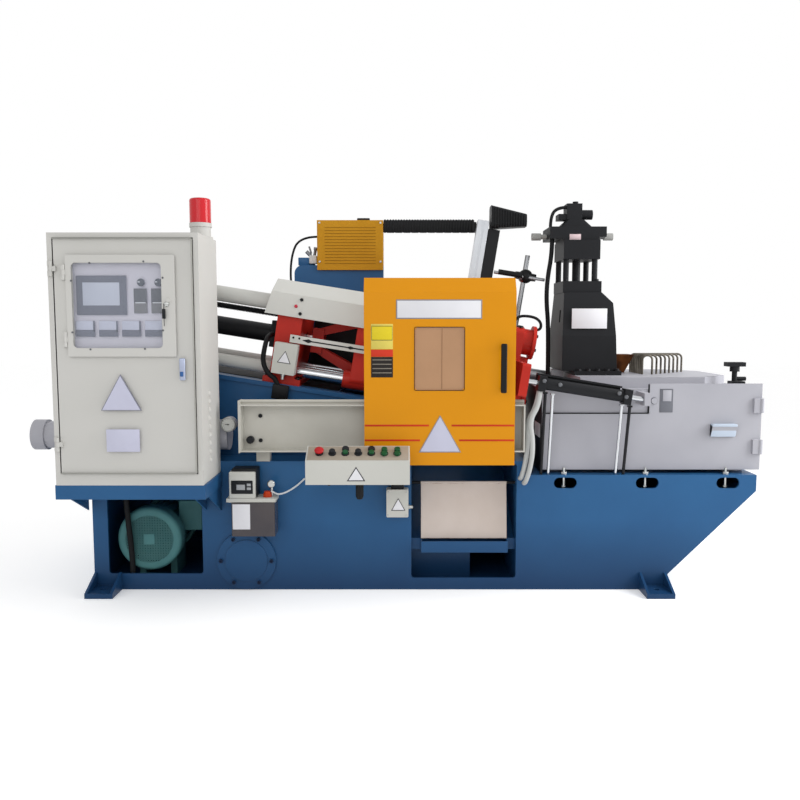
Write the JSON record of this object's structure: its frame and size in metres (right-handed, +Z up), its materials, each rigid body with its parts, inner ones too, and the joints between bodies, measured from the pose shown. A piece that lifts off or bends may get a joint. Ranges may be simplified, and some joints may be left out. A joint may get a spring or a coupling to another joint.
{
  "type": "die casting machine",
  "caption": "Hot-chamber die casting machine: blue base, inclined clamp unit behind a sliding guard, cabinet with hinged doors, furnace and upright shot unit.",
  "frame": {"origin": "centre of the rectangle of four anchor-bolt holes, on the floor plane", "axes": "+X along the machine from the cabinet to the furnace, +Y away from the operator, +Z up"},
  "size_m": [3.35, 1.371, 1.826],
  "materials": {
    "blue_enamel": "gloss",
    "yellow_enamel": "gloss",
    "cabinet_grey": "satin",
    "furnace_grey": "satin",
    "beam_white": "satin",
    "black_enamel": "satin",
    "red_enamel": "gloss",
    "motor_green": "satin",
    "chrome_bar": "polished",
    "steel": "brushed",
    "aluminium_arm": "extruded",
    "rust": "rusted",
    "heater": "oxidised",
    "beacon_red": "gloss",
    "smoky_plastic": "gloss",
    "black_plastic": "matt",
    "button_plastic": "gloss",
    "tan_pane": "satin",
    "clear_pane": "clear",
    "cream_sheet": "worn",
    "rubber_hose": "matt",
    "grey_conduit": "satin"
  },
  "bodies": {
    "machine": {"anchor_feet": "blue_enamel", "bar_sleeves": "beam_white", "base_back_plate": "blue_enamel", "base_bulkheads": "blue_enamel", "base_decks": "blue_enamel", "base_front_plate": "blue_enamel", "beacon_lamp": "beacon_red", "beacon_post": "cabinet_grey", "cabinet_shelf": "blue_enamel", "cabinet_shell": "cabinet_grey", "cable_chain": "black_plastic", "chute_tray": "blue_enamel", "clamp_cover": "beam_white", "clamp_cylinder": "black_enamel", "clean_out_cover": "blue_enamel", "control_boxes": "beam_white", "docking_cylinder": "black_enamel", "docking_rods": "chrome_bar", "drop_chute": "cream_sheet", "fixed_platen": "red_enamel", "furnace_body": "furnace_grey", "furnace_front_panel": "furnace_grey", "furnace_lid": "furnace_grey", "guard_beam": "beam_white", "heater_hoops": "heater", "hydraulic_hoses": "rubber_hose", "inclined_bed": "blue_enamel", "ingot_hopper": "rust", "lever_post": "black_enamel", "lube_head": "black_plastic", "lube_reservoir": "smoky_plastic", "motor_cowl": "motor_green", "mounting_plate": "steel", "nozzle": "steel", "oil_cooler": "furnace_grey", "pump_motor": "motor_green", "push_buttons": "button_plastic", "rear_guard": "yellow_enamel", "rear_platen": "red_enamel", "rod_stand": "steel", "shot_bracket": "black_enamel", "shot_cylinder": "black_enamel", "shot_knobs": "steel", "spray_arm": "aluminium_arm", "spray_mast": "black_enamel", "tank_hood": "yellow_enamel", "tie_bars": "chrome_bar", "travel_scale": "beam_white", "upright_tank": "blue_enamel", "wire_conduits": "grey_conduit"},
    "guard_door": {"guard_door": "yellow_enamel", "door_rollers": "steel", "door_window": "tan_pane", "door_handle": "black_plastic"},
    "cabinet_door": {"cabinet_door": "cabinet_grey", "instrument_panel": "cabinet_grey"},
    "instrument_door": {"instrument_door": "cabinet_grey", "instrument_window": "clear_pane"},
    "moving_platen": {"moving_platen": "red_enamel", "clamp_ram": "chrome_bar"}
  },
  "joints": [
    {"name": "guard_slide", "type": "slide", "parent": "machine", "child": "guard_door", "axis": [1, 0, 0], "range_m": [-0.52, 0]},
    {"name": "cabinet_hinge", "type": "hinge", "parent": "machine", "child": "cabinet_door", "pos_m": [-1.324, -0.778, 1.0855], "axis": [0, 0, -1], "range_deg": [0, 110]},
    {"name": "window_hinge", "type": "hinge", "parent": "cabinet_door", "child": "instrument_door", "pos_m": [-1.272, -0.784, 1.2945], "axis": [0, 0, -1], "range_deg": [0, 100]},
    {"name": "clamp_slide", "type": "slide", "parent": "machine", "child": "moving_platen", "axis": [0.9877, 0, -0.1564], "range_m": [0, 0.2]}
  ]
}
